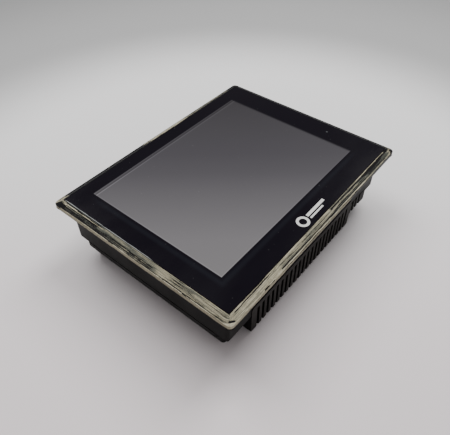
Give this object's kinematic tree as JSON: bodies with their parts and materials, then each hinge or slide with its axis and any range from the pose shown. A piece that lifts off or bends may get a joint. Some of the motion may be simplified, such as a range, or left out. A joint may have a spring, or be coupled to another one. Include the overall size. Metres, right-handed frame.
{
  "type": "panel-mount operator touch screen",
  "caption": "Panel-mount operator touch screen: sloping bezel, stepped vented rear case, serial and USB ports, pull-off supply plug, battery flap and service key.",
  "frame": {"origin": "middle of the bounding box's base: the rear face lies on the surface at z = 0, with the screen up", "axes": "+X towards the screen's right along the longer side, +Y towards the screen's top, +Z out of the screen"},
  "size_m": [0.184, 0.144, 0.05],
  "materials": {
    "film": "printed polyester film, glossy black border and clear window",
    "bezel": "dark moulded plastic with cream and grey-green adhesive residue and streaks round the rim",
    "case": "matte black fine-textured moulded plastic",
    "seal": "matte black rubber",
    "glass": "clear glass",
    "steel": "plated pressed sheet steel",
    "zinc": "zinc or nickel plated steel",
    "diffuser": "white moulded plastic",
    "board": "green solder mask on glass-epoxy laminate",
    "chip": "black moulded packages",
    "aluminium": "plain extruded or drawn aluminium",
    "terminal": "green moulded terminal plastic",
    "moulding": "black moulded plastic",
    "ribbon": "amber polyimide ribbon",
    "light_guide": "clear acrylic"
  },
  "bodies": {
    "panel": {"overlay_film": "film", "front_bezel": "bezel", "rear_housing": "case", "panel_gasket": "seal", "touch_tape": "seal", "touch_glass": "glass", "lcd_cell": "glass", "lcd_frame": "steel", "lcd_bracket": "steel", "card_socket": "steel", "bracket_screw_1": "zinc", "bracket_screw_2": "zinc", "bracket_screw_3": "zinc", "bracket_screw_4": "zinc", "housing_screw_1": "zinc", "housing_screw_2": "zinc", "housing_screw_3": "zinc", "housing_screw_4": "zinc", "board_screw_1": "zinc", "board_screw_2": "zinc", "board_screw_3": "zinc", "board_screw_4": "zinc", "jack_nut_1": "zinc", "jack_nut_2": "zinc", "jack_nut_3": "zinc", "jack_nut_4": "zinc", "com1_port": "zinc", "com2_port": "zinc", "usb_host_port": "zinc", "usb_client_port": "zinc", "coin_battery": "zinc", "lcd_backlight": "diffuser", "power_led": "diffuser", "main_board": "board", "processor": "chip", "power_inductor": "chip", "buzzer": "chip", "key_switch": "chip", "processor_heatsink": "aluminium", "power_capacitor": "aluminium", "power_header": "terminal", "battery_holder": "moulding", "touch_flex": "ribbon", "lcd_flex": "ribbon", "light_pipe": "light_guide"},
    "battery_flap": {"battery_cover": "case"},
    "service_key": {"system_key": "moulding"},
    "supply_plug": {"power_plug": "terminal"},
    "plug_screw_1": {"terminal_screw_1": "zinc"},
    "plug_screw_2": {"terminal_screw_2": "zinc"},
    "plug_screw_3": {"terminal_screw_3": "zinc"}
  },
  "joints": [
    {"name": "battery_cover_swing", "type": "hinge", "parent": "panel", "child": "battery_flap", "pos_m": [0.0842, 0.03, 0.021], "axis": [0, 1, 0], "range_deg": [0, 100]},
    {"name": "system_key_press", "type": "slide", "parent": "panel", "child": "service_key", "axis": [-1, 0, 0], "range_m": [0, 0.0008], "stiffness_N_per_m": 500},
    {"name": "power_plug_pull", "type": "slide", "parent": "panel", "child": "supply_plug", "axis": [0, 1, 0], "range_m": [0, 0.009]},
    {"name": "terminal_screw_1_turn", "type": "hinge", "parent": "supply_plug", "child": "plug_screw_1", "pos_m": [-0.06808, 0.0618, 0.004], "axis": [0, 0, 1], "continuous": true},
    {"name": "terminal_screw_2_turn", "type": "hinge", "parent": "supply_plug", "child": "plug_screw_2", "pos_m": [-0.063, 0.0618, 0.004], "axis": [0, 0, 1], "continuous": true},
    {"name": "terminal_screw_3_turn", "type": "hinge", "parent": "supply_plug", "child": "plug_screw_3", "pos_m": [-0.05792, 0.0618, 0.004], "axis": [0, 0, 1], "continuous": true}
  ]
}
